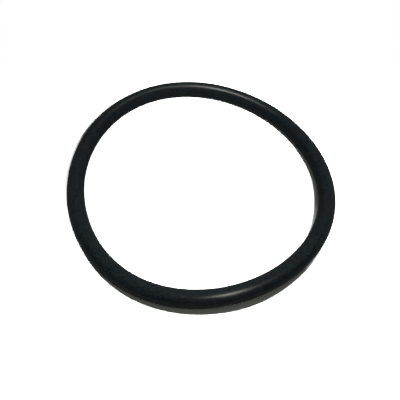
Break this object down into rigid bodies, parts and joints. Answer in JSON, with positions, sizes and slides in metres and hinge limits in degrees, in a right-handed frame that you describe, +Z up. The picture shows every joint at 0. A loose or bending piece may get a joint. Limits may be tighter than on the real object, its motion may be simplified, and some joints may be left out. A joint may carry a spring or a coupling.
{
  "type": "rubber o-ring",
  "caption": "Round-cord rubber ring that seals a shaft, a bore or a flange when a groove squeezes it, lying free and slightly out of round.",
  "frame": {"origin": "on the table under the middle of the ring: centre of the box around it, at its lowest point", "axes": "+Z up through the ring, along the axis of the shaft or bore that it seals, and the ring lies flat on Z = 0. +X is to the right and -Y towards the viewer of the picture"},
  "size_m": [0.0802, 0.08, 0.005],
  "materials": {
    "nitrile_rubber": "semi-matte moulded black nitrile rubber"
  },
  "bodies": {
    "root": {"o_ring": "nitrile_rubber"}
  },
  "joints": []
}
